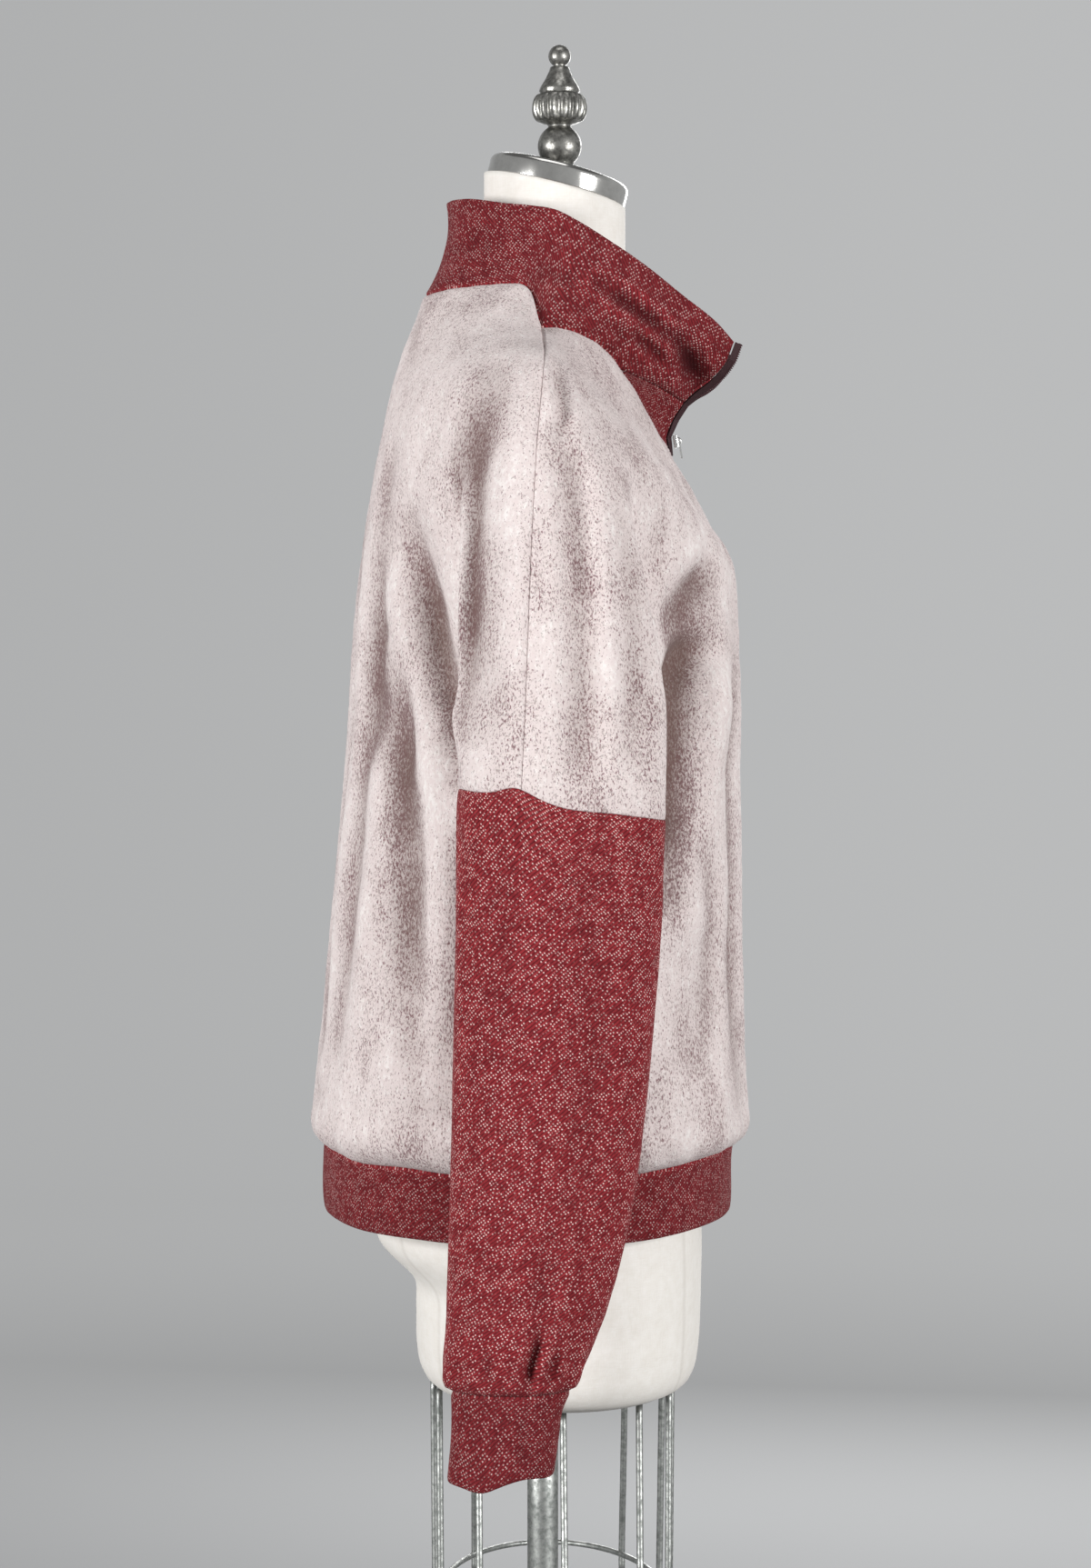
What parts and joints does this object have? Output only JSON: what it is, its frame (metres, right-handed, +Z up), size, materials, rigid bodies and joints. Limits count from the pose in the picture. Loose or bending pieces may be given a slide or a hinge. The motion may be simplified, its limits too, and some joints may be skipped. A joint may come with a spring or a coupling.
{
  "type": "half zip sweatshirt on a dress form",
  "caption": "Loose half zip sweatshirt with stand collar, contrast lower sleeves and hem band, worn by a limbless dress form on a pole stand.",
  "frame": {"origin": "centre of the stand base's underside, on the floor and on the pole's axis", "axes": "+Z up along the pole; the garment's front faces -Y and the wearer's right side is -X"},
  "size_m": [0.578, 0.41, 1.5894],
  "materials": {
    "fleece": "brushed flecked off-white fleece",
    "twill": "burgundy twill with pale flecks",
    "zip_tape": "woven tape and coil, dark burgundy",
    "zip_metal": "bright silver",
    "linen": "fine cream linen",
    "polished_steel": "polished",
    "cast_metal": "mottled satin",
    "galvanised_steel": "dull galvanised"
  },
  "bodies": {
    "sweatshirt_on_form": {"back_panel": "fleece", "cage_ring": "galvanised_steel", "cage_rod_01": "galvanised_steel", "cage_rod_02": "galvanised_steel", "cage_rod_03": "galvanised_steel", "cage_rod_04": "galvanised_steel", "cage_rod_05": "galvanised_steel", "cage_rod_06": "galvanised_steel", "cage_rod_07": "galvanised_steel", "cage_rod_08": "galvanised_steel", "cage_rod_09": "galvanised_steel", "cage_rod_10": "galvanised_steel", "cage_rod_11": "galvanised_steel", "cage_rod_12": "galvanised_steel", "collar": "twill", "cuff_left": "twill", "cuff_right": "twill", "finial": "cast_metal", "form_torso": "linen", "front_inset_left": "twill", "front_inset_right": "twill", "front_panel": "fleece", "hem_band": "twill", "lower_sleeve_left": "twill", "lower_sleeve_right": "twill", "neck_cap": "polished_steel", "pole": "galvanised_steel", "stand_base": "galvanised_steel", "zip_slider": "zip_metal", "zip_tape_left": "zip_tape", "zip_tape_right": "zip_tape"},
    "pull_tab": {"zip_pull_tab": "zip_metal"}
  },
  "joints": [
    {"name": "pull_tab_swing", "type": "hinge", "parent": "sweatshirt_on_form", "child": "pull_tab", "pos_m": [0, -0.09749, 1.30632], "axis": [-1, 0, 0], "range_deg": [0, 165]}
  ]
}
